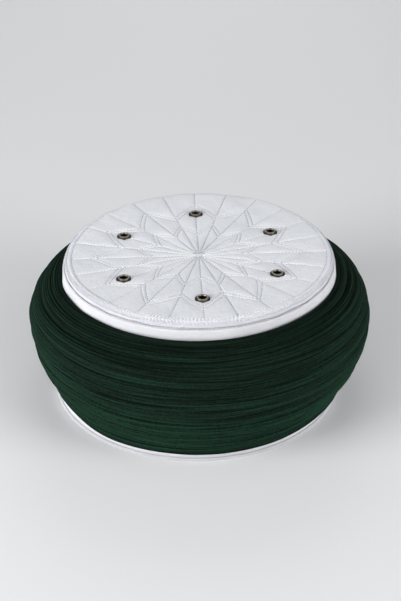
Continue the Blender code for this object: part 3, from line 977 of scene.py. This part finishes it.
def creasePaths(turn):
    # where every crease lies at each turn, as shares of the way up, with its depth
    last = len(mainCreases) - 1
    seed, small = wrap["seed"], wrap["small"]
    main = []
    for number, crease in enumerate(mainCreases):
        below = crease["path"] - mainCreases[max(0, number - 1)]["path"]
        above = mainCreases[min(last, number + 1)]["path"] - crease["path"]
        room = min(below, above)
        away = crease["sway"] * room * np.cos(turn - radians(crease["turn"]))
        if 0 < number < last:
            away = away + wrap["mainSway"] * room * wander(turn, seed + 40 + number, 7)
        main.append(crease["path"] + away)
    paths, depths = [], []
    for number in range(last):
        folds = range(number * small, (number + 1) * small)
        weights = [np.exp(wrap["smallSpread"] * wander(turn, seed * 100 + fold, 7)) for fold in folds]
        total = np.sum(weights, 0)
        reached = np.zeros_like(turn)
        for fold, weight in zip(folds, weights):
            paths.append(main[number] + (main[number + 1] - main[number]) * reached / total)
            reached = reached + weight
            own = 0.5 + 0.5 * wander(turn, seed * 300 + fold, 5)
            own = own * np.sqrt(np.abs(own)) * 1.25
            if fold == folds[0]:
                deep = mainCreases[number]["deep"] * wrap["mainDepth"] * np.clip(0.8 + 0.4 * own, 0.3, 1.3)
            else:
                deep = wrap["creaseDepth"] * np.clip(own, 0.16, 1.2)
            depths.append(deep)
    paths.append(main[-1])
    return np.stack(paths, 1), np.stack(depths, 1), np.stack(main, 1)


def mainSwell(path, main):
    # the low hump of each main fold between its two creases
    swell = np.zeros_like(path)
    for number in range(main.shape[1] - 1):
        low, high = main[:, number, None], main[:, number + 1, None]
        share = np.clip((path - low) / (high - low), 0, 1)
        swell += 4 * share * (1 - share) * mainCreases[number]["swell"] * wrap["foldSwell"]
    return swell


def foldLayout(turn, long):
    # for each row of the mesh: its way up the cloth, and what the tree reads of the fold it is in
    paths, depths, main = creasePaths(turn)
    folds = depths.shape[1]
    share = np.array(wrap["foldRows"])
    width = np.diff(paths, axis=1)[:, :, None]
    leaning = np.stack([wander(turn, wrap["seed"] * 500 + number, 5) for number in range(folds)], 1)
    above = depths[:, [*range(1, folds), folds - 1], None]
    layout = {
        "path": paths[:, :-1, None] + width * share,
        "fold": share + 0 * width,
        "width": width * long + 0 * share,
        "deep": depths[:, :, None] * (share == 0),
        "tilt": leaning[:, :, None] + 0 * share,
        "crease": np.where(share < 0.5, depths[:, :, None], above),
    }
    for name, values in layout.items():
        last = paths[:, -1:] if name == "path" else 0 * paths[:, -1:]
        layout[name] = np.append(values.reshape(len(turn), -1), last, 1)
    return layout.pop("path"), layout, main


def makeWrapSource():
    # the wound ring's layout, row by row on the creases, before its folds are raised
    outline = wrapOutlinePoints()
    lengths = np.concatenate([[0], np.cumsum(np.hypot(*np.diff(outline, axis=0).T))])
    steps = wrap["steps"]
    turn = np.arange(steps) * tau / steps
    path, layout, main = foldLayout(turn, lengths[-1])
    wanted = path * lengths[-1]
    radius, height = (np.interp(wanted, lengths, outline[:, way]) for way in (0, 1))
    slopeR, slopeZ = (np.interp(wanted, lengths, np.gradient(outline[:, way], lengths)) for way in (0, 1))
    size = np.hypot(slopeR, slopeZ)
    swell = mainSwell(path, main)
    swing = turn[:, None]
    radius = radius + lumpSwell(swing, height) + swell * slopeZ / size
    height = height - swell * slopeR / size
    back = np.linspace(wrap["top"] - wrap["edge"] / 2, wrap["bottom"] + wrap["edge"] / 2, wrap["backRows"])
    radius = np.append(radius, np.tile(wallRadius(back) + cap["gap"], (steps, 1)), 1)
    height = np.append(height, np.tile(back, (steps, 1)), 1)
    mesh = ringMesh("wrap", radius, hitchUp(swing, height))
    none = np.zeros((steps, len(back)))
    outR, outZ = np.append(slopeZ / size, none, 1), np.append(-slopeR / size, none, 1)
    up = np.append(wanted * wrap["woundStretch"], none, 1)
    store(mesh, "outward", around(outR, swing, outZ), "FLOAT_VECTOR", "vector")
    store(mesh, "wound", around(wrap["woundRadius"], swing, up), "FLOAT_VECTOR", "vector")
    for name, values in layout.items():
        store(mesh, name, np.append(values, none, 1))
    return addPiece("wrapLayout", mesh)


def wrapTree(values):
    # raises each fold between its two creases, tips it a little, and sinks the creases
    add, given = startTree("raisedFolds", values)
    fold, width, deep, tilt, crease = (
        add("GeometryNodeInputNamedAttribute", {"Name": name}, data_type="FLOAT")
        for name in ("fold", "width", "deep", "tilt", "crease"))
    outward = add("GeometryNodeInputNamedAttribute", {"Name": "outward"}, data_type="FLOAT_VECTOR")
    rest = add("ShaderNodeMath", (1.0, fold), operation="SUBTRACT")
    hump = fold
    for factor, operation in ((rest, "MULTIPLY"), (4.0, "MULTIPLY"), (0.6, "POWER")):
        hump = add("ShaderNodeMath", (hump, factor), operation=operation)
    bulge = add("ShaderNodeMath", (hump, given["Bulge"]), operation="MULTIPLY")
    tipped = add("ShaderNodeMath", (fold, 0.5), operation="SUBTRACT")
    for factor in (tilt, given["Tilt"]):
        tipped = add("ShaderNodeMath", (tipped, factor), operation="MULTIPLY")
    away = add("ShaderNodeMath", (fold, 0.01), operation="GREATER_THAN")
    rise = add("ShaderNodeMath", (tipped, away, bulge), operation="MULTIPLY_ADD")
    rise = add("ShaderNodeMath", (rise, width), operation="MULTIPLY")
    rise = add("ShaderNodeMath", (rise, deep), operation="SUBTRACT")
    noise = add("ShaderNodeTexNoise", {"Scale": given["Ripple scale"]})
    even = add("ShaderNodeMath", (noise, 0.5), operation="SUBTRACT")
    rise = add("ShaderNodeMath", (even, given["Ripple"], rise), operation="MULTIPLY_ADD")
    offset = add("ShaderNodeVectorMath", {0: outward, "Scale": rise}, operation="SCALE")
    raised = add("GeometryNodeSetPosition", {0: given["Geometry"], "Offset": offset})
    # how far a point is out of its crease, which the material turns into painted shade; a shallow crease
    # counts for less
    shut = add("ShaderNodeMapRange", (crease, 0.0001, 0.0011, 0.2, 1.0))
    inCrease = add("ShaderNodeMapRange", (hump, 0.0, 0.75, 1.0, 0.0))
    inCrease = add("ShaderNodeMath", (inCrease, shut), operation="MULTIPLY")
    ridge = add("ShaderNodeMath", (1.0, inCrease), operation="SUBTRACT")
    kept = add("GeometryNodeStoreNamedAttribute", {
        "Geometry": raised, "Name": "ridge", "Value": ridge}, data_type="FLOAT", domain="POINT")
    return endTree(add, kept, voile)


wrapBand = grow("woundWrap", makeWrapSource(), wrapTree, {
    "Bulge": wrap["bulge"], "Tilt": wrap["tilt"],
    "Ripple": wrap["ripple"], "Ripple scale": wrap["rippleScale"]})
print("wrap wound")


# Pieces on the frame

for piece, nodes, slot in (
    (crown, ["crown_panel"], "crown_panel"),
    (capWall, ["cap_wall"], "cap_wall"),
    (hemTape, ["hem_band"], "hem_band"),
    (wrapBand, ["wrap_band"], "wrap_band"),
    (ventEyelets, ["eyelet_" + str(number + 1) for number in range(6)], "eyelet"),
    (crownStitches, [], "crown_panel"),
):
    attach(piece, "root")
    if nodes:
        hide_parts(*nodes)
print("pieces placed")


# Floor and light

studio = {
    "floorReach": 3.0,
    "lights": table(
        "name place size watts",
        ("left", (-1.30, -0.70, 0.35), 0.8, 33.0),
        ("rightLow", (1.30, -0.70, 0.35), 0.8, 20.5),
        ("key", (-0.80, -1.25, 0.85), 0.9, 3.6),
        ("right", (1.10, -0.90, 1.10), 1.4, 6.2),
        ("top", (-0.20, -0.60, 2.20), 2.0, 6.6),
        ("backdrop", (0.00, 1.05, 0.75), 0.9, 4.4),
    ),
    "aim": 0.05,             # the height the lights point at
    "world": 0.055,
    "worldColour": "#F4F6FA",
}

for lamp in studio["lights"]:
    light = bpy.data.lights.new(lamp["name"], "AREA")
    light.size = lamp["size"]
    light.energy = lamp["watts"]
    lampObject = addPiece(lamp["name"], light)
    lampObject.location = lamp["place"]
    away = lampObject.location.copy()
    away.z -= studio["aim"]
    lampObject.rotation_euler = away.to_track_quat("Z", "Y").to_euler()
world = bpy.data.worlds.new("studio")
world.use_nodes = True
feed(world.node_tree.nodes["Background"], {"Color": studio["worldColour"], "Strength": studio["world"]})
bpy.context.scene.world = world
bpy.context.scene.view_settings.view_transform = "Standard"

far = studio["floorReach"]
corners = [(-far, -far, 0), (far, -far, 0), (far, far, 0), (-far, far, 0)]
addPiece("floor", makeMesh("floor", corners, [(0, 1, 2, 3)], makePaperSweep()))
